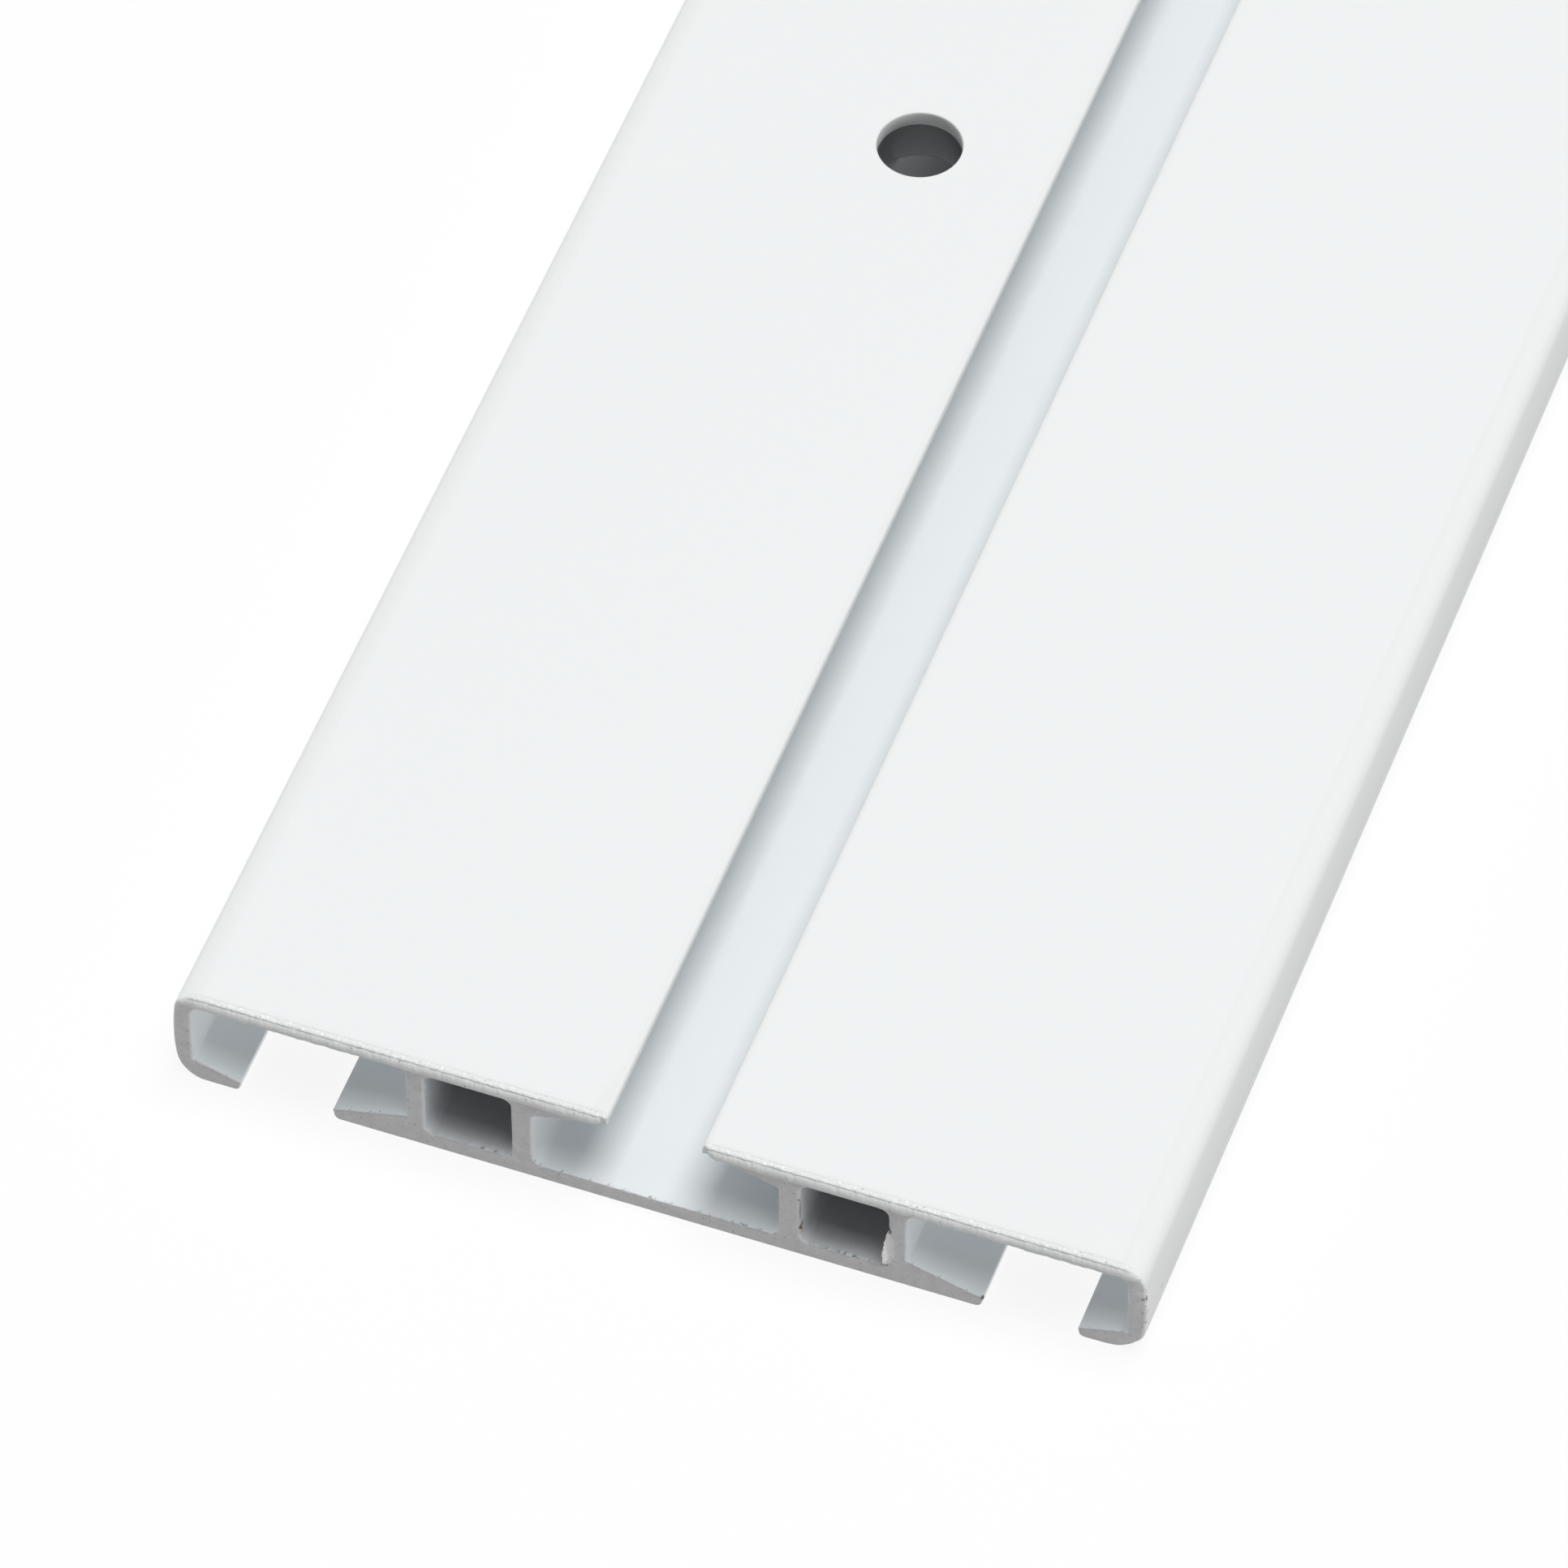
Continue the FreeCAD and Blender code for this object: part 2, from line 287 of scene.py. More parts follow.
def wall_grid(outline, limit, sizes, seed):
    """The wall that an outline leaves when it is carried along the track: a grid of stations by points.

    Between the ends each station repeats the outline. At an end the wall turns in over a quarter ellipse,
    so that it meets the sawn face square: small round channels and chambers, and sharp along their floors
    and on thin edges. Along the top the coat makes a bead instead, an arc of a circle that begins at a crease
    and bulges a little out of the end. The sizes waver a little along the outline, as the saw and the coat
    left them, and grains of coat stand out of the top.
    """
    step = np.roll(outline, -1, axis=0) - outline
    travelled = np.cumsum(np.linalg.norm(step, axis=1))
    tangent = np.roll(outline, -1, axis=0) - np.roll(outline, 1, axis=0)
    tangent /= np.linalg.norm(tangent, axis=1)[:, None]
    normal = np.stack([-tangent[:, 1], tangent[:, 0]], axis=1)
    distance = travelled[-1] / len(outline)

    upward = np.clip(normal[:, 1], 0, 1)
    top = upward * np.clip((outline[:, 1] - HEIGHT + 1.6 * MM) / (0.8 * MM), 0, 1)
    foot = np.clip(-normal[:, 1], 0, 1) * np.clip(1.6 - outline[:, 1] / (0.5 * MM), 0, 1)
    sharp = np.maximum(upward - top, foot)
    radius = sizes.saw_rim + (sizes.saw_edge - sizes.saw_rim) * np.clip(sharp * (1 - top), 0, 1)
    thick = np.interp(np.abs(outline[:, 0]), [sizes.glider_slot / 2, sizes.middle_channel / 2],
                      [sizes.slot_edge, sizes.slot_root])
    room = np.minimum(thick, sizes.side_roof) - sizes.saw_rim
    down = radius + (np.minimum(sizes.bead_down, room) - radius) * top
    back = radius + (sizes.bead_back - radius) * top
    down *= 1 + (0.1 - 0.07 * top) * waver(travelled, 0.7 * MM, 7 * MM, seed)
    back *= 1 + 0.16 * waver(travelled, 0.5 * MM, 5 * MM, seed + 10)
    cap = hold_smallest(np.where(np.isfinite(limit), 0.66 * limit, 1 * MM), distance, 0.2 * MM)
    down = np.minimum(hold_smallest(down, distance, 0.12 * MM), cap)
    back = np.minimum(hold_smallest(back, distance, 0.12 * MM), 1.6 * cap)

    def turned(rings):
        """Rings of a turned end: how far inside the outline, how far behind the end and how ragged."""
        lean = np.radians(np.linspace(90, 0, rings))[:, None]
        crease, low = np.radians(BEAD_ARC)
        arc = np.linspace(low, crease, rings)[:, None]
        curl = down[None, :] / (np.cos(crease) - np.cos(low))
        inset = (1 - top) * down * (1 - np.cos(lean)) + top * curl * (np.cos(crease) - np.cos(arc))
        depth = (1 - top) * back * (1 - np.sin(lean)) + top * (back - curl * (np.sin(arc) - np.sin(crease)))
        inset = np.concatenate([inset[:1] + SUPPORT, inset])
        depth = np.concatenate([0 * depth[:1], depth])
        return inset, depth, np.concatenate([[0.0], np.sin(2 * lean[:, 0]) * np.cos(lean[:, 0])])

    inset, depth, ragged = turned(NEAR_RINGS)
    inland = np.array(NEAR_STATIONS) * MM
    far_inset, far_depth, far_ragged = turned(FAR_RINGS)
    far_inland = np.array(FAR_STATIONS) * MM
    count = len(outline)
    inset = np.concatenate([inset, np.zeros((len(inland) + len(far_inland), count)), far_inset[::-1]])
    along = np.concatenate([
        -HALF_LENGTH + depth,
        np.repeat((-HALF_LENGTH + inland)[:, None], count, axis=1),
        np.repeat((HALF_LENGTH - far_inland[::-1])[:, None], count, axis=1),
        (HALF_LENGTH - far_depth)[::-1]])
    ragged = np.concatenate([ragged, np.zeros(len(inland) + len(far_inland)), far_ragged[::-1]])

    # Ragged coat on the arris, most on upper edges, and grains along the crease where the bead begins
    rough = (0.25 + upward + 0.8 * sharp * upward)[None, :] * ragged[:, None]
    out = 0.02 * MM * rough * waver(travelled, 0.3 * MM, 1.1 * MM, seed + 20)
    lift = 0.025 * MM * rough * waver(travelled, 0.3 * MM, 1.4 * MM, seed + 30)
    along = along + np.sign(along) * lift
    from_end = HALF_LENGTH - np.abs(along)
    edge = np.exp(-((from_end - sizes.bead_back) / (0.12 * MM)) ** 2) * top[None, :]
    out = out + 0.012 * MM * edge * grains(travelled[None, :], from_end, 0.2 * MM, 0.55 * MM, seed + 50)

    fade = np.exp(-(along + HALF_LENGTH) / (0.5 * MM))
    for across, up, reach, stands, proud in SAW_MARKS:
        gap = np.linalg.norm(outline - np.array([across, up]) * MM, axis=1) / (reach * MM)
        mark = np.exp(-gap ** 2 / 2)[None, :] * fade * (ragged > 0)[:, None]
        out = out + stands * MM * np.exp(-gap ** 2 / 2)[None, :] * fade
        along = along - proud * MM * mark

    level, deep, wide = DIE_LINE
    groove = np.exp(-((outline[:, 1] - level) / wide) ** 2) * (outline[:, 0] > 30.2 * MM)
    out = out - deep * groove[None, :] * (along > -HALF_LENGTH + 2 * MM)
    place = outline[None, :, :] + normal[None, :, :] * (out - inset)[:, :, None]
    return np.stack([place[..., 0], along, place[..., 1]], axis=2)


def leaf_mesh(name, spine, spread, stands, seed, rows=41, columns=15):
    """A closed leaf of metal that the saw pushed out of the end.

    The spine is a quadratic curve through three points of the end, from the leaf's first tip to its second.
    Across the leaf, the front stands highest at the ragged near edge and falls as a power of the way across
    until it runs into the end. Along the leaf it rises and falls, highest two thirds of the way down. The
    back lies a little under the end.
    """
    first, bend, last = np.array(spine) * MM
    u = np.linspace(0, 1, rows)[:, None]
    v = np.linspace(0, 1, columns)[None, :]
    x = (1 - u) ** 2 * first[0] + 2 * u * (1 - u) * bend[0] + u ** 2 * last[0]
    z = (1 - u) ** 2 * first[1] + 2 * u * (1 - u) * bend[1] + u ** 2 * last[1]
    girth = np.sin(np.pi * u) ** 0.7 + 0.02
    near, far = spread
    torn = 0.05 * MM * waver(u * 3 * MM, 0.13 * MM, 1.0 * MM, seed) * np.sin(np.pi * u) ** 0.5
    left = -near * MM * girth + torn
    right = far * MM * girth
    across = x + left + (right - left) * v
    rise = np.where(u < 0.66, np.sin(u / 0.66 * np.pi / 2), np.cos((u - 0.66) / 0.34 * np.pi / 2) ** 0.8)
    uneven = 1 + 0.1 * waver(u * 3 * MM, 0.3 * MM, 2 * MM, seed + 1)
    front = MM * (stands * rise * (1 - v) ** 1.5 * uneven - 0.03)
    end = TRACK_LOW[1]
    up = z + 0 * v
    face = np.stack([across, end - front * (np.sin(np.pi * u) > 0.001), up], axis=2)
    under = np.stack([across, end + 0.1 * MM + 0 * up, up], axis=2)
    number = np.arange(rows * columns).reshape(rows, columns)
    loop = np.concatenate([number[0, :-1], number[:-1, -1], number[-1, :0:-1], number[:0:-1, 0]])
    turn = np.roll(loop, -1)
    quads = np.stack([number[:-1, :-1], number[1:, :-1], number[1:, 1:], number[:-1, 1:]], axis=-1)
    quads = quads.reshape(-1, 4)
    sides = np.stack([loop, turn, turn + rows * columns, loop + rows * columns], axis=-1)
    faces = np.concatenate([quads, quads[:, ::-1] + rows * columns, sides])
    vertices = np.concatenate([face.reshape(-1, 3), under.reshape(-1, 3)])
    return finished_mesh(name, vertices, faces.tolist())


def finished_mesh(name, vertices, faces):
    """A smooth mesh from points and faces, with doubles merged and every face turned outwards."""
    mesh = bpy.data.meshes.new(name)
    mesh.from_pydata(vertices.tolist(), [], faces)
    work = bmesh.new()
    work.from_mesh(mesh)
    bmesh.ops.remove_doubles(work, verts=work.verts, dist=1e-7)
    bmesh.ops.recalc_face_normals(work, faces=work.faces)
    work.to_mesh(mesh)
    work.free()
    mesh.validate()
    mesh.shade_smooth()
    return mesh


def close_grid(grid, first):
    """Quads between neighbouring stations of a grid whose points run round a closed outline."""
    stations, count = grid.shape[:2]
    number = first + np.arange(stations * count).reshape(stations, count)
    beside = np.roll(number, -1, axis=1)
    return np.stack([number[:-1], beside[:-1], beside[1:], number[1:]], axis=-1).reshape(-1, 4)


def track_mesh(sizes):
    """The whole track: the outer wall, the walls of both chambers and the two sawn faces between them."""
    half = section_corners(sizes)
    chamber = chamber_corners(sizes)
    outlines = [np.concatenate([half, flipped(half)]), chamber, flipped(chamber)]
    grids = []
    for seed, corners in enumerate(outlines, start=3):
        points, limit = rounded_outline(corners)
        if len(corners) > 4:
            points = bow_sides(points, sizes)
        grids.append(wall_grid(points, limit, sizes, seed))

    firsts = np.cumsum([0] + [grid.shape[0] * grid.shape[1] for grid in grids])
    vertices = np.concatenate([grid.reshape(-1, 3) for grid in grids])
    quads = np.concatenate([close_grid(grid, first) for grid, first in zip(grids, firsts)])

    faces = quads.tolist()
    for station in (0, -1):
        rings = [[Vector((x, z, 0)) for x, y, z in grid[station]] for grid in grids]
        names = np.concatenate([first + grid.shape[1] * (station % grid.shape[0]) + np.arange(grid.shape[1])
                                for grid, first in zip(grids, firsts)])
        faces += [[int(names[corner]) for corner in face] for face in tessellate_polygon(rings)]

    return finished_mesh("track_profile_coated", vertices, faces)


def add_piece(name, mesh):
    """A new object at the origin that holds the mesh."""
    piece = bpy.data.objects.new(name, mesh)
    bpy.context.scene.collection.objects.link(piece)
    return piece


def hole_cutter(sizes):
    """Drill shape for every screw hole: a circle whose radius flares to a quarter round at each face.

    The radius is that of the hole, and grows near a face by the rim's radius times one less the sine of
    the angle that the round has turned through.
    """
    radius = sizes.screw_hole / 2
    rim = sizes.screw_rim
    lean = np.radians(np.linspace(0, 90, 7))
    flare = radius + rim * (1 - np.sin(lean))
    level = rim * (1 - np.cos(lean))
    beyond = 1 * MM
    radii = np.concatenate([[0, flare[0]], flare, flare[::-1], [flare[0], 0]])
    levels = np.concatenate([[-beyond, -beyond], level, HEIGHT - level[::-1], [HEIGHT + beyond] * 2])
    count = 96
    angle = np.linspace(0, 2 * np.pi, count, endpoint=False)
    chamber_middle = chamber_sides(sizes)[0] + sizes.chamber_width / 2
    last = HALF_LENGTH - sizes.screw_margin
    vertices = []
    quads = []
    for hole, y in enumerate(np.linspace(-last, last, sizes.screw_holes)):
        ring = np.stack([
            -chamber_middle + radii[:, None] * np.cos(angle),
            y + radii[:, None] * np.sin(angle),
            levels[:, None] + 0 * angle], axis=2)
        quads.append(close_grid(ring, hole * ring.shape[0] * count))
        vertices.append(ring.reshape(-1, 3))
    return finished_mesh("drill", np.concatenate(vertices), np.concatenate(quads).tolist())


# Materials

# Colours of small marks and of what lies deep, in linear red, green and blue, with alpha
WHITE = (1.0, 1.0, 1.0, 1.0)
# Painted shade deep inside the hollow chambers, where little light reaches
DEEP_CHAMBER_SHADE = (0.09, 0.092, 0.1, 1.0)
# Coat of the burr, whiter than the rest as a painted highlight
BURR_COAT_AND_HIGHLIGHT = (0.97, 0.97, 0.97, 1.0)
DARK_GRAIN = (0.3, 0.3, 0.34, 1.0)
PIT = (0.13, 0.11, 0.1, 1.0)
FINE_PIT = (0.2, 0.19, 0.2, 1.0)
# Painted shade along the sharp floors at the cut
FLOOR_EDGE_SHADE = (0.42, 0.44, 0.52, 1.0)
DIE_SHADE = (0.5, 0.52, 0.56, 1.0)
DIE_SPOT = (0.28, 0.16, 0.13, 1.0)
DARK_MARK_AND_SHADE = (0.1, 0.085, 0.075, 1.0)
# Dark marks, and painted shadow and shade at both ends of the burr
PRIMER = (0.1, 0.085, 0.095, 1.0)

# Small marks on the end that shows: across and up, then their spread across, along and up, in millimetres
END_MARKS = {
    "stain": ((9.2, 2.5), (0.16, 0.7, 0.85)),
    "line": ((9.17, 4.2), (0.06, 0.3, 1.7)),
    "dot": ((9.1, 5.2), (0.07, 0.3, 0.1)),
    "kink": ((14.86, 4.66), (0.16, 0.5, 0.2)),
    "foot": ((14.66, 1.42), (0.14, 0.5, 0.12)),
    "tick": ((20.76, 1.0), (0.12, 0.5, 0.26)),
    "edge": ((30.84, 4.5), (0.3, 0.5, 3.3)),
    "corner": ((30.3, 0.6), (0.7, 0.5, 0.8)),
}


def new_material(name):
    """An empty node material and its output node."""
    material = bpy.data.materials.new(name)
    material.use_nodes = True
    material.node_tree.nodes.clear()
    return material, material.node_tree.nodes.new("ShaderNodeOutputMaterial")


def wire(tree, source, target):
    """Joins two sockets, or writes a plain value into the target."""
    if isinstance(source, bpy.types.NodeSocket):
        tree.links.new(source, target)
    else:
        target.default_value = source


def calc(tree, operation, *values, clamp=False):
    """One Math node. Gives its output."""
    node = tree.nodes.new("ShaderNodeMath")
    node.operation = operation
    node.use_clamp = clamp
    for value, socket in zip(values, node.inputs):
        wire(tree, value, socket)
    return node.outputs[0]


def between(tree, value, low, high):
    """0 below low, 1 above high and smooth between them."""
    node = tree.nodes.new("ShaderNodeMapRange")
    node.interpolation_type = "SMOOTHSTEP"
    for source, name in ((value, "Value"), (low, "From Min"), (high, "From Max")):
        wire(tree, source, node.inputs[name])
    return node.outputs["Result"]


def product(tree, first, *others):
    """Product of two or more values."""
    for other in others:
        first = calc(tree, "MULTIPLY", first, other)
    return first


def opposite(tree, mask):
    """1 where the mask is 0, and 0 where it is 1."""
    return calc(tree, "SUBTRACT", 1.0, mask)


def past_end(tree, to_middle, first, full):
    """0 up to a first distance past the sawn end, 1 from a second one on, in millimetres, smooth between."""
    return between(tree, to_middle, HALF_LENGTH + first * MM, HALF_LENGTH + full * MM)


def noise(tree, place, scale, detail=2.0, rough=0.5):
    """Value of a noise whose scale counts in features per metre."""
    node = tree.nodes.new("ShaderNodeTexNoise")
    wire(tree, place, node.inputs["Vector"])
    node.inputs["Scale"].default_value = scale
    node.inputs["Detail"].default_value = detail
    node.inputs["Roughness"].default_value = rough
    return node.outputs["Fac"]


def mix_colour(tree, share, first, second):
    """Blend from the first colour to the second."""
    node = tree.nodes.new("ShaderNodeMix")
    node.data_type = "RGBA"
    wire(tree, share, node.inputs["Factor"])
    wire(tree, first, node.inputs["A"])
    wire(tree, second, node.inputs["B"])
    return node.outputs["Result"]


def lay_over(tree, base, shade, strength, *masks):
    """The base with a shade laid over it at a strength, where all the masks are."""
    return mix_colour(tree, product(tree, *masks, strength), base, shade)


def scaled_colour(tree, source, share):
    """A colour times a value."""
    node = tree.nodes.new("ShaderNodeVectorMath")
    node.operation = "SCALE"
    wire(tree, source, node.inputs[0])
    wire(tree, share, node.inputs["Scale"])
    return node.outputs[0]


def group(name, inputs, outputs):
    """A shader node group with named sockets: (name, kind, default). Gives its tree, input and output nodes."""
    tree = bpy.data.node_groups.new(name, "ShaderNodeTree")
    for label, kind, default in inputs:
        socket = tree.interface.new_socket(label, in_out="INPUT", socket_type=kind)
        if default is not None:
            socket.default_value = default
    for label, kind in outputs:
        tree.interface.new_socket(label, in_out="OUTPUT", socket_type=kind)
    return tree, tree.nodes.new("NodeGroupInput"), tree.nodes.new("NodeGroupOutput")


def use_group(tree, made, **values):
    """Places a group in a material with its own values."""
    node = tree.nodes.new("ShaderNodeGroup")
    node.node_tree = made
    for name, value in values.items():
        wire(tree, value, node.inputs[name.replace("_", " ")])
    return node


def coat_skin_group():
    """Powder coat: a faint orange peel about 0.8 mm across and a fine grain about 0.15 mm across, as height."""
    inputs = [("Place", "NodeSocketVector", None), ("Peel", "NodeSocketFloat", 1.0),
              ("Grain", "NodeSocketFloat", 1.0)]
    tree, inlet, outlet = group("coat skin", inputs, [("Height", "NodeSocketFloat")])
    peel = product(tree, noise(tree, inlet.outputs["Place"], 1200, 1.5), inlet.outputs["Peel"])
    grain = product(tree, noise(tree, inlet.outputs["Place"], 6500, 2.0), inlet.outputs["Grain"])
    wire(tree, calc(tree, "ADD", peel, grain), outlet.inputs["Height"])
    return tree


def speck_group():
    """Small scattered specks: the cells of a Voronoi pattern whose random value passes a level, each a dot."""
    inputs = [("Place", "NodeSocketVector", None), ("Scale", "NodeSocketFloat", 2500.0),
              ("Size", "NodeSocketFloat", 0.3), ("Rarity", "NodeSocketFloat", 0.8)]
    tree, inlet, outlet = group("specks", inputs, [("Mask", "NodeSocketFloat")])
    cells = tree.nodes.new("ShaderNodeTexVoronoi")
    wire(tree, inlet.outputs["Place"], cells.inputs["Vector"])
    wire(tree, inlet.outputs["Scale"], cells.inputs["Scale"])
    pick = tree.nodes.new("ShaderNodeSeparateColor")
    wire(tree, cells.outputs["Color"], pick.inputs["Color"])
    chosen = calc(tree, "GREATER_THAN", pick.outputs["Red"], inlet.outputs["Rarity"])
    size = inlet.outputs["Size"]
    dot = opposite(tree, between(tree, cells.outputs["Distance"], product(tree, size, 0.4), size))
    wire(tree, product(tree, chosen, dot), outlet.inputs["Mask"])
    return tree


def near_spot(tree, place, spot, spread):
    """1 at a spot of the track and falling to 0 at the spread, which has its own value along each axis."""
    shift = tree.nodes.new("ShaderNodeVectorMath")
    shift.operation = "SUBTRACT"
    wire(tree, place, shift.inputs[0])
    shift.inputs[1].default_value = spot
    scale = tree.nodes.new("ShaderNodeVectorMath")
    scale.operation = "DIVIDE"
    wire(tree, shift.outputs[0], scale.inputs[0])
    scale.inputs[1].default_value = spread
    reach = tree.nodes.new("ShaderNodeVectorMath")
    reach.operation = "LENGTH"
    wire(tree, scale.outputs[0], reach.inputs[0])
    return opposite(tree, between(tree, reach.outputs["Value"], 0.35, 1.0))


def end_mark(tree, place, name):
    """Mask of one of the small marks on the end that shows."""
    (across, up), (wide, deep, high) = END_MARKS[name]
    return near_spot(tree, place, (across * MM, -HALF_LENGTH, up * MM), (wide * MM, deep * MM, high * MM))


def end_masks(tree, up, to_middle):
    """Four masks at the sawn ends: the cut, the turned arris, the rim of the top and the burr.

    The cut is full on the flat, weaker on the bead along the top, and none where the arris has turned into
    the wall or on the burr, which is painted whiter than the coat as a highlight. The rim is where grains of
    coat lie along the crease.
    """
    burr = product(tree, past_end(tree, to_middle, 0.22, 0.36), calc(tree, "LESS_THAN", up, 5 * MM))
    bead = between(tree, up, HEIGHT - 0.95 * MM, HEIGHT - 0.6 * MM)
    cut = product(tree, calc(tree, "SUBTRACT", past_end(tree, to_middle, -0.1, -0.01), burr),
                  calc(tree, "MULTIPLY_ADD", bead, -0.8, 1.0))
    arris = past_end(tree, to_middle, -0.6, -0.1)
    rim = product(tree, past_end(tree, to_middle, -0.42, -0.26),
                  opposite(tree, past_end(tree, to_middle, -0.02, 0.06)),
                  between(tree, up, HEIGHT - 0.3 * MM, HEIGHT - 0.1 * MM))
    return cut, arris, rim, burr


def bare_mask(tree, place, axes, to_side, to_middle, sizes):
    """Mask of dull bare aluminium inside the hollow chambers, where the coat ends a little way in from the
    sawn ends. Round the screw holes it is a little weaker: painted light where light falls in through them."""
    near, far = chamber_sides(sizes)
    slack = 0.1 * MM
    inside = product(tree,
                     calc(tree, "GREATER_THAN", to_side, near - slack),
                     calc(tree, "LESS_THAN", to_side, far + slack),
                     calc(tree, "GREATER_THAN", axes.outputs["Z"], sizes.base_plate - slack),
                     calc(tree, "LESS_THAN", axes.outputs["Z"], HEIGHT - sizes.chamber_roof + slack))
    patchy = calc(tree, "MULTIPLY_ADD", noise(tree, place, 900, 2.0), 0.6 * MM, -0.3 * MM)
    past_coat = opposite(tree, past_end(tree, calc(tree, "ADD", to_middle, patchy), -1.5, 0.0))
    pitch = (2 * HALF_LENGTH - 2 * sizes.screw_margin) / (sizes.screw_holes - 1)
    from_first = calc(tree, "ADD", axes.outputs["Y"], HALF_LENGTH - sizes.screw_margin)
    to_hole = calc(tree, "PINGPONG", from_first, pitch / 2)
    # Painted light round the screw holes, where light falls in through them onto the chamber
    hole_light = product(tree, opposite(tree, between(tree, to_hole, 2.5 * MM, 9 * MM)),
                     calc(tree, "LESS_THAN", axes.outputs["X"], 0.0))
    return product(tree, past_coat, calc(tree, "MULTIPLY_ADD", hole_light, -0.1, 1.0), inside)


def floor_edge_shade_mask(tree, place, up, to_side, to_middle, sizes):
    """Mask of the ragged shade along the sharp floors at the cut: those of the middle channel and the
    chambers, the sloping base plate and the lips."""
    near, far = chamber_sides(sizes)
    channel_side = TRACK_HIGH[0] - sizes.side_wall
    lip_end = channel_side - sizes.side_lip
    floors = [
        (0.0, sizes.base_plate, near - sizes.inner_web - sizes.floor_round, sizes.base_plate),
        (near + sizes.chamber_round, sizes.base_plate, far - sizes.chamber_round, sizes.base_plate),
        (far + sizes.outer_web, sizes.plate_root, lip_end - sizes.glider_slot, sizes.plate_edge),
        (lip_end, sizes.lip_edge, channel_side, sizes.lip_root),
    ]
    reach = product(tree, noise(tree, place, 1700, 3.0), 0.16 * MM)
    strips = 0.0
    for first, first_up, last, last_up in floors:
        slope = (last_up - first_up) / (last - first)
        level = calc(tree, "MULTIPLY_ADD", to_side, slope, first_up - first * slope)
        below = calc(tree, "SUBTRACT", calc(tree, "SUBTRACT", level, up), 0.02 * MM)
        strip = product(tree, calc(tree, "LESS_THAN", calc(tree, "ABSOLUTE", below), reach),
                        calc(tree, "GREATER_THAN", to_side, first), calc(tree, "LESS_THAN", to_side, last))
        strips = calc(tree, "ADD", strips, strip, clamp=True)
    return product(tree, strips, past_end(tree, to_middle, -0.1, -0.02))


def speck_mask(tree, specks, place, scale, size, rarity):
    """Mask of scattered specks."""
    return use_group(tree, specks, Place=place, Scale=scale, Size=size, Rarity=rarity).outputs["Mask"]


def add_marks(tree, base, place, axes, to_middle, colours):
    """Lays the die line, the stain, the dark marks with the painted shade at the burr, and the chips over the
    colour.
    """
    # Die line on the right side wall, which begins at a small dark spot
    level, _, wide = DIE_LINE
    off_line = calc(tree, "ABSOLUTE", calc(tree, "SUBTRACT", axes.outputs["Z"], level))
    base = lay_over(tree, base, DIE_SHADE, 0.3, opposite(tree, between(tree, off_line, 0.4 * wide, 1.4 * wide)),
                    calc(tree, "GREATER_THAN", axes.outputs["X"], 30 * MM),
                    calc(tree, "LESS_THAN", to_middle, HALF_LENGTH - 3 * MM))
    spot = near_spot(tree, place, (30.9 * MM, 3.0 * MM - HALF_LENGTH, level), (0.5 * MM, 0.25 * MM, 0.14 * MM))
    base = lay_over(tree, base, DIE_SPOT, 0.6, spot)

    # Brown stain and a thin dark line down the left side of the right chamber's mouth, a dark dot beside
    # it on the web, painted shadow at the upper kink of the burr, painted shade at its foot, and a dark mark at
    # the tick
    ragged = between(tree, noise(tree, place, 3400, 2.0), 0.33, 0.55)
    stained = product(tree, ragged, end_mark(tree, place, "stain"))
    base = mix_colour(tree, stained, base, tuple(colours.stain) + (1.0,))
    dark_marks_and_shade = end_mark(tree, place, "dot")
    for name, strength in (("line", 0.8), ("kink", 0.7), ("foot", 0.7), ("tick", 0.85)):
        dark_marks_and_shade = calc(tree, "MAXIMUM", dark_marks_and_shade, product(tree, end_mark(tree, place, name), strength))
    base = mix_colour(tree, dark_marks_and_shade, base, DARK_MARK_AND_SHADE)

    # Chips along the right arris of the cut, down to a dark primer
    chips = calc(tree, "MAXIMUM", end_mark(tree, place, "edge"), end_mark(tree, place, "corner"))
    flaked = between(tree, noise(tree, place, 2100, 3.0, 0.7), 0.55, 0.6)
    return lay_over(tree, base, PRIMER, 0.8, chips, flaked)


def coat_relief(tree, place, arris, rim):
    """Height of the coat: its skin, rougher on the arris and torn along the rim."""
    skin = coat_skin_group()
    relief = use_group(tree, skin, Place=place, Peel=1.0, Grain=0.25).outputs["Height"]
    rough = use_group(tree, skin, Place=place, Peel=6.0, Grain=4.0).outputs["Height"]
    torn = use_group(tree, skin, Place=place, Peel=10.0, Grain=12.0).outputs["Height"]
    relief = calc(tree, "ADD", relief, product(tree, arris, rough))
    return calc(tree, "ADD", relief, product(tree, rim, torn))


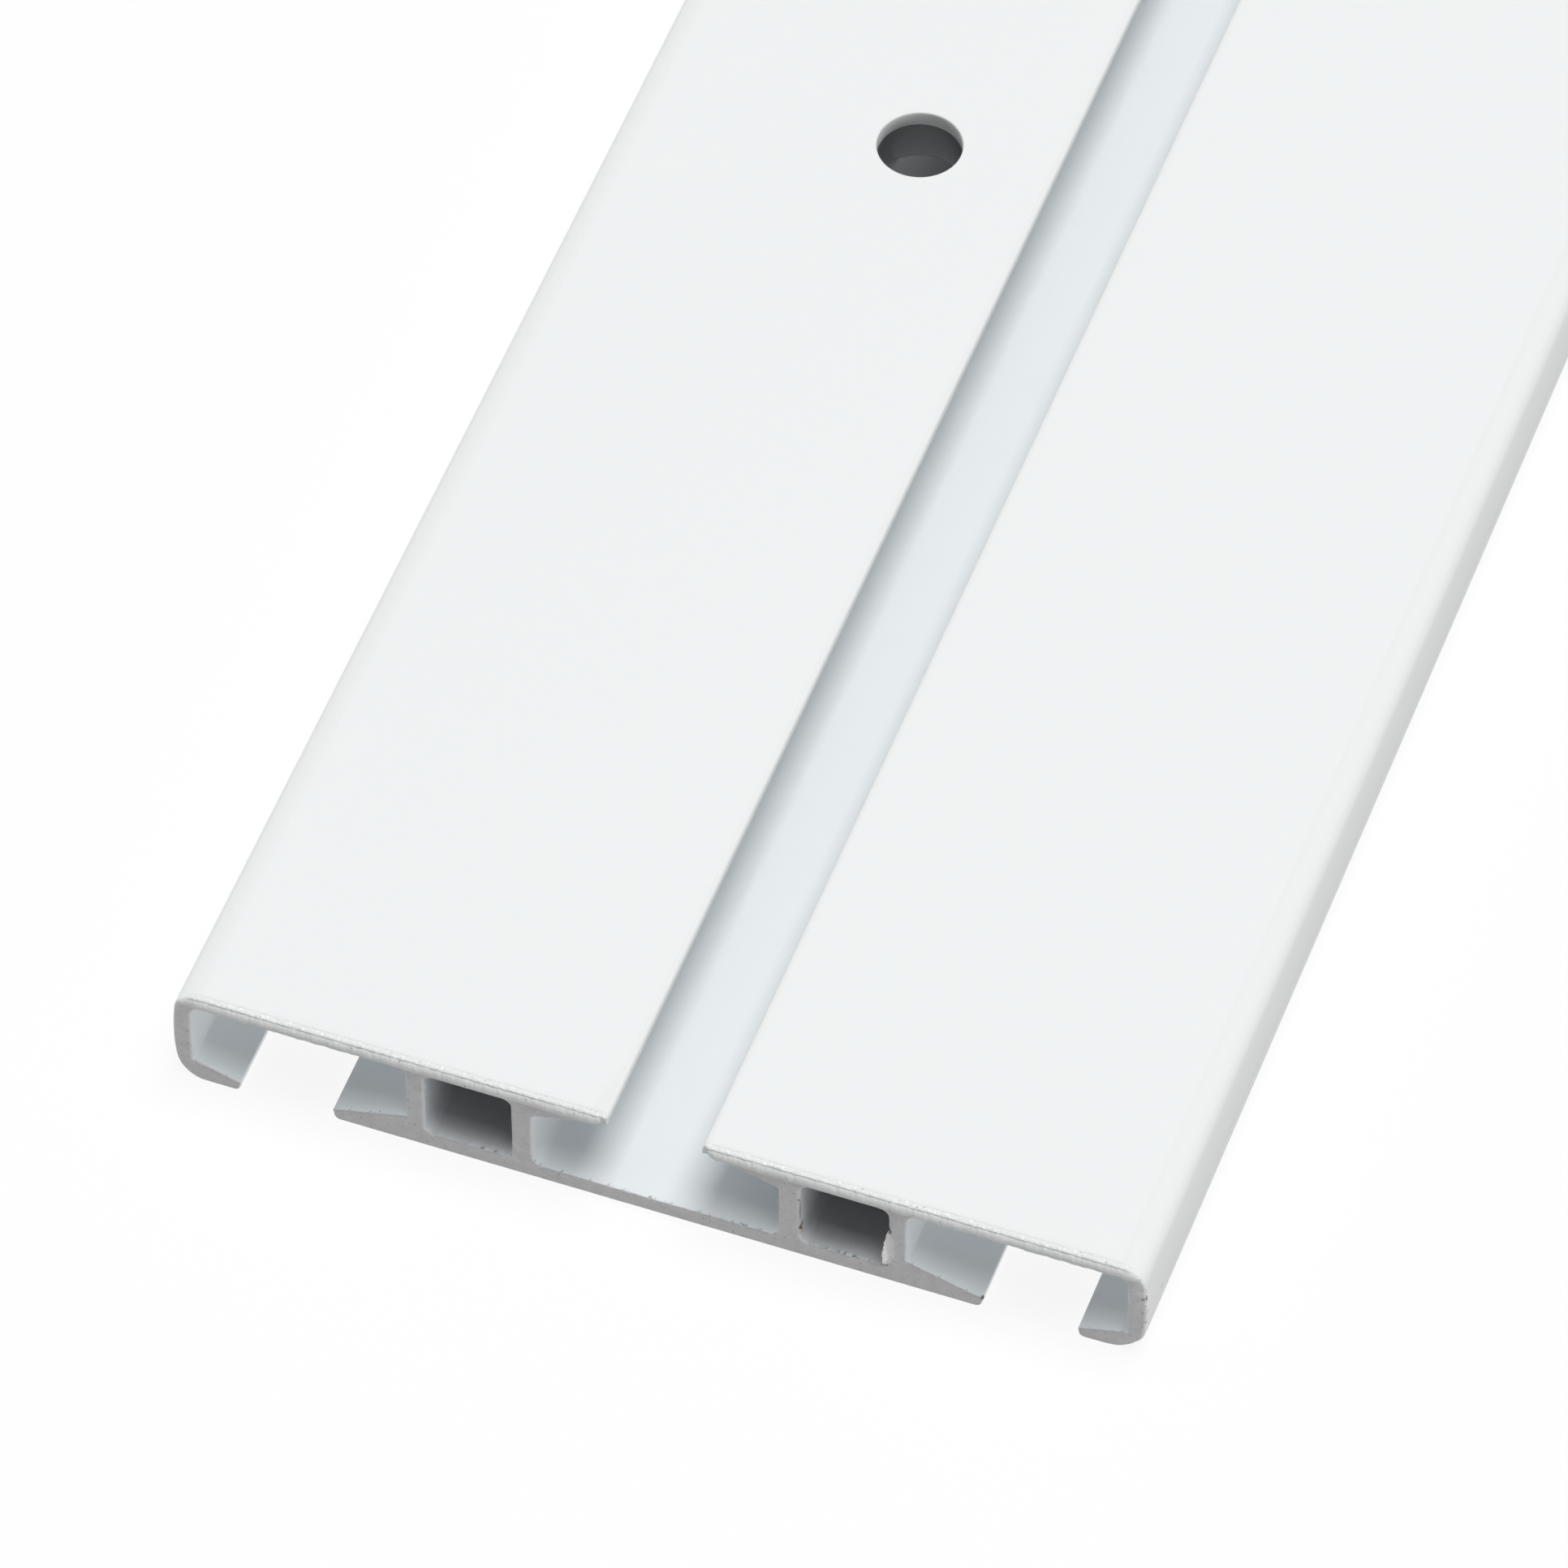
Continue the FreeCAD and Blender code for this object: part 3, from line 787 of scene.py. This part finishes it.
def coat_material(sizes, colours):
    """White satin powder coat, with the thinner, speckled coat over the sawn ends and its few marks."""
    material, outlet = new_material("white_powder_coat")
    tree = material.node_tree
    place = tree.nodes.new("ShaderNodeTexCoord").outputs["Object"]
    axes = tree.nodes.new("ShaderNodeSeparateXYZ")
    wire(tree, place, axes.inputs[0])
    up = axes.outputs["Z"]
    to_middle = calc(tree, "ABSOLUTE", axes.outputs["Y"])
    to_side = calc(tree, "ABSOLUTE", axes.outputs["X"])
    specks = speck_group()
    cut, arris, rim, burr = end_masks(tree, up, to_middle)

    # The coat, with painted cool shade inside the channels, and a faint unevenness along the track
    within = product(tree, calc(tree, "LESS_THAN", to_side, TRACK_HIGH[0] - 0.7 * sizes.side_wall),
                     calc(tree, "GREATER_THAN", up, 0.3 * MM), calc(tree, "LESS_THAN", up, HEIGHT - 0.9 * MM))
    coat = mix_colour(tree, within, tuple(colours.coat) + (1.0,), tuple(colours.thin) + (1.0,))
    coat = scaled_colour(tree, coat, calc(tree, "MULTIPLY_ADD", noise(tree, place, 14, 1.0), 0.012, 0.994))

    # The mottled cut over it, and the metal inside the chambers, with painted shade that darkens it further in
    mottle = calc(tree, "MULTIPLY_ADD", noise(tree, place, 1500, 4.0, 0.65), 0.34, 0.83)
    base = mix_colour(tree, cut, coat, scaled_colour(tree, tuple(colours.cut), mottle))
    metal = mix_colour(tree, past_end(tree, to_middle, -30, -8), DEEP_CHAMBER_SHADE, tuple(colours.bare) + (1.0,))
    base = mix_colour(tree, bare_mask(tree, place, axes, to_side, to_middle, sizes), base, metal)

    # Burr whiter than the coat as a painted highlight, painted glints and dark grains along the rim, pits on
    # the arris and finer pits on the cut
    base = mix_colour(tree, burr, base, BURR_COAT_AND_HIGHLIGHT)
    # Painted glints: white specks along the rim of the top where it begins to turn
    bright = product(tree, speck_mask(tree, specks, place, 3400.0, 0.45, 0.46), rim)
    base = mix_colour(tree, bright, base, WHITE)
    base = lay_over(tree, base, DARK_GRAIN, 0.4, speck_mask(tree, specks, place, 3700.0, 0.3, 0.66), rim)
    base = lay_over(tree, base, PIT, 0.45, speck_mask(tree, specks, place, 2600.0, 0.26, 0.86), arris)
    base = lay_over(tree, base, FINE_PIT, 0.3, speck_mask(tree, specks, place, 4600.0, 0.34, 0.66), cut)
    # Painted shade along the sharp floors at the cut
    base = lay_over(tree, base, FLOOR_EDGE_SHADE, 0.4, floor_edge_shade_mask(tree, place, up, to_side, to_middle, sizes))
    base = add_marks(tree, base, place, axes, to_middle, colours)

    shader = tree.nodes.new("ShaderNodeBsdfPrincipled")
    wire(tree, base, shader.inputs["Base Color"])
    gloss = calc(tree, "MULTIPLY_ADD", noise(tree, place, 900, 2.0), 0.08, 0.46)
    wire(tree, calc(tree, "MULTIPLY_ADD", cut, 0.15, gloss), shader.inputs["Roughness"])
    shader.inputs["Specular IOR Level"].default_value = 0.3
    bump = tree.nodes.new("ShaderNodeBump")
    bump.inputs["Strength"].default_value = 1.0
    bump.inputs["Distance"].default_value = 0.004 * MM
    wire(tree, coat_relief(tree, place, arris, rim), bump.inputs["Height"])
    wire(tree, bump.outputs["Normal"], shader.inputs["Normal"])
    wire(tree, shader.outputs[0], outlet.inputs["Surface"])
    return material


# Light that the floor gives to the object, beside the track and under it, how bright the camera and
# reflections see it, its own plain grey, and the strength of the sky
FLOOR_LIGHT, UNDER_TRACK_LIGHT = 0.43, 1.0
FLOOR_SEEN = 0.97
FLOOR_GREY = (0.12, 0.12, 0.12, 1.0)
SKY_LIGHT = 0.05


def seen_rays(tree):
    """1 for rays from the camera, a reflection or glass, and 0 for the light that falls on the object."""
    rays = tree.nodes.new("ShaderNodeLightPath")
    mirrored = calc(tree, "MAXIMUM", rays.outputs["Is Glossy Ray"], rays.outputs["Is Transmission Ray"])
    return calc(tree, "MAXIMUM", rays.outputs["Is Camera Ray"], mirrored)


def floor_material(colours):
    """Pale floor: the camera and reflections see it almost white, with the object's shadow on it. It gives a
    low light, and more of it from under the track, as a pale table lit through the slots does."""
    material, outlet = new_material("pale_floor")
    tree = material.node_tree
    plain = tree.nodes.new("ShaderNodeBsdfDiffuse")
    plain.inputs["Color"].default_value = FLOOR_GREY
    glow = tree.nodes.new("ShaderNodeEmission")
    glow.inputs["Color"].default_value = tuple(colours.floor) + (1.0,)
    axes = tree.nodes.new("ShaderNodeSeparateXYZ")
    wire(tree, tree.nodes.new("ShaderNodeTexCoord").outputs["Object"], axes.inputs[0])
    to_side = calc(tree, "ABSOLUTE", axes.outputs["X"])
    to_middle = calc(tree, "ABSOLUTE", axes.outputs["Y"])
    beneath = product(tree, calc(tree, "LESS_THAN", to_side, TRACK_HIGH[0] - 2 * MM),
                      calc(tree, "LESS_THAN", to_middle, TRACK_HIGH[1]))
    given = calc(tree, "MULTIPLY_ADD", beneath, UNDER_TRACK_LIGHT - FLOOR_LIGHT, FLOOR_LIGHT)
    strength = tree.nodes.new("ShaderNodeMix")
    wire(tree, seen_rays(tree), strength.inputs["Factor"])
    wire(tree, given, strength.inputs["A"])
    strength.inputs["B"].default_value = FLOOR_SEEN
    wire(tree, strength.outputs["Result"], glow.inputs["Strength"])
    both = tree.nodes.new("ShaderNodeAddShader")
    wire(tree, plain.outputs[0], both.inputs[0])
    wire(tree, glow.outputs[0], both.inputs[1])
    wire(tree, both.outputs[0], outlet.inputs["Surface"])
    return material


# Stage

# Camera of the reference view: its place in metres and its right, up and back directions
CAMERA_PLACE = (0.15422, -0.99436, 0.55740)
CAMERA_RIGHT = (0.93871, 0.34470, -0.00206)
CAMERA_UP = (-0.26548, 0.72674, 0.63354)
CAMERA_BACK = (0.21988, -0.59416, 0.77371)
CAMERA_LENS = 268.5

# Lamps: name, place, what it looks at, width, depth, strength in watts and tint
LAMPS = [
    ("key above", (0.43, -0.48, 2.4), (0.43, -0.48, 0.0), 1.1, 2.05, 41.5, (1.01, 1.0, 0.98)),
    ("broad fill above", (0.2, -0.35, 2.4), (0.2, -0.35, 0.0), 5.0, 1.3, 27.0, (0.95, 1.0, 1.06)),
    ("right fill", (2.4, -1.2, 0.4), (0.0, -0.55, 0.0), 2.6, 0.9, 18.0, (1.0, 1.0, 1.0)),
    ("left fill", (-2.6, -0.2, 0.5), (0.0, -0.2, 0.0), 2.6, 0.9, 25.0, (1.0, 1.0, 1.0)),
]

# How far the floor reaches from the middle, and how far it lies under the track, so that the two faces
# don't fight
FLOOR_REACH = 6.0
FLOOR_DROP = 0.02 * MM


def aim_camera():
    """Camera at the reference view, turned by the three measured directions."""
    data = bpy.data.cameras.new("camera")
    data.lens = CAMERA_LENS
    data.sensor_width = 36.0
    data.clip_start = 0.01
    data.clip_end = 50.0
    camera = bpy.data.objects.new("camera", data)
    turn = Matrix((CAMERA_RIGHT, CAMERA_UP, CAMERA_BACK)).transposed()
    camera.matrix_world = Matrix.Translation(CAMERA_PLACE) @ turn.to_4x4()
    bpy.context.scene.collection.objects.link(camera)
    bpy.context.scene.camera = camera


def area_lamp(name, place, aim, width, depth, strength, tint):
    """A soft rectangular lamp that looks at a point."""
    data = bpy.data.lights.new(name, "AREA")
    data.shape = "RECTANGLE"
    data.size = width
    data.size_y = depth
    data.energy = strength
    data.color = tint
    lamp = bpy.data.objects.new(name, data)
    lamp.matrix_world = (Matrix.Translation(place)
                         @ (Vector(aim) - Vector(place)).to_track_quat("-Z", "Y").to_matrix().to_4x4())
    bpy.context.scene.collection.objects.link(lamp)


def light_world():
    """Dim even sky for the object, white for the camera and for reflections."""
    world = bpy.data.worlds.new("soft sky")
    world.use_nodes = True
    tree = world.node_tree
    tree.nodes.clear()
    sky = tree.nodes.new("ShaderNodeBackground")
    sky.inputs["Color"].default_value = WHITE
    sky.inputs["Strength"].default_value = SKY_LIGHT
    white = tree.nodes.new("ShaderNodeBackground")
    white.inputs["Color"].default_value = WHITE
    white.inputs["Strength"].default_value = 1.0
    both = tree.nodes.new("ShaderNodeMixShader")
    wire(tree, seen_rays(tree), both.inputs[0])
    wire(tree, sky.outputs[0], both.inputs[1])
    wire(tree, white.outputs[0], both.inputs[2])
    wire(tree, both.outputs[0], tree.nodes.new("ShaderNodeOutputWorld").inputs["Surface"])
    bpy.context.scene.world = world


# Operators and panel

class TRACK_OT_profile(bpy.types.Operator):
    """Build the coated profile in place of the plain solid and drill its screw holes"""
    bl_idname = "track.profile"
    bl_label = "Track profile"

    def execute(self, context):
        sizes = context.scene.track_sizes
        profile = add_piece("track_profile_coated", track_mesh(sizes))
        burr = leaf_mesh("burr", [(14.76, 4.75), (14.72, 3.1), (14.74, 1.5)], (0.16, 0.6), 0.6, 41)
        tick = leaf_mesh("tick", [(20.74, 0.78), (20.76, 0.95), (20.74, 1.14)], (0.05, 0.06), 0.16, 43)
        # Known fault: the drill cut leaves stray faces across the chamber in both end holes, the sawn faces
        # keep some open edges, and the tick stays a loose shell
        tools = [("DIFFERENCE", hole_cutter(sizes)), ("UNION", burr), ("UNION", tick)]
        for number, (operation, mesh) in enumerate(tools):
            tool = add_piece(mesh.name, mesh)
            step = profile.modifiers.new(f"step {number}", "BOOLEAN")
            step.operation = operation
            step.object = tool
            step.solver = "EXACT"
        made = bpy.data.meshes.new_from_object(profile.evaluated_get(context.evaluated_depsgraph_get()))
        made.name = "track_profile_coated"
        for step in list(profile.modifiers):
            bpy.data.objects.remove(step.object)
        profile.modifiers.clear()
        profile.data = made
        even = profile.modifiers.new("flat faces stay flat", "WEIGHTED_NORMAL")
        even.weight = 100
        profile.data.materials.clear()
        profile.data.materials.append(coat_material(sizes, context.scene.track_colours))
        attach(profile, "root")
        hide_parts("track_profile")
        return {"FINISHED"}


class TRACK_OT_stage(bpy.types.Operator):
    """Set the pale floor, the soft lamps, the sky and the camera"""
    bl_idname = "track.stage"
    bl_label = "Stage"

    def execute(self, context):
        floor = bpy.data.meshes.new("floor")
        corners = [(-1, -1), (1, -1), (1, 1), (-1, 1)]
        floor.from_pydata([(x * FLOOR_REACH, y * FLOOR_REACH, -FLOOR_DROP) for x, y in corners],
                          [], [(0, 1, 2, 3)])
        floor.materials.append(floor_material(context.scene.track_colours))
        add_piece("floor", floor)
        light_world()
        for lamp in LAMPS:
            area_lamp(*lamp)
        aim_camera()
        context.scene.view_settings.view_transform = "Standard"
        return {"FINISHED"}


class TRACK_PT_panel(bpy.types.Panel):
    """Sizes, colours and steps of the curtain track"""
    bl_idname = "TRACK_PT_panel"
    bl_label = "Curtain track"
    bl_space_type = "VIEW_3D"
    bl_region_type = "UI"
    bl_category = "Curtain track"

    def draw(self, context):
        layout = self.layout
        for operator in (TRACK_OT_profile, TRACK_OT_stage):
            layout.operator(operator.bl_idname)
        for settings in (context.scene.track_sizes, context.scene.track_colours):
            box = layout.box()
            for name in settings.__annotations__:
                box.prop(settings, name)


CLASSES = (TrackSizes, TrackColours, TRACK_OT_profile, TRACK_OT_stage, TRACK_PT_panel)


def register():
    for item in CLASSES:
        bpy.utils.register_class(item)
    bpy.types.Scene.track_sizes = PointerProperty(type=TrackSizes)
    bpy.types.Scene.track_colours = PointerProperty(type=TrackColours)


def unregister():
    del bpy.types.Scene.track_colours
    del bpy.types.Scene.track_sizes
    for item in reversed(CLASSES):
        bpy.utils.unregister_class(item)


def main():
    register()
    bpy.ops.track.stage()
    bpy.ops.track.profile()


if __name__ == "__main__":
    main()
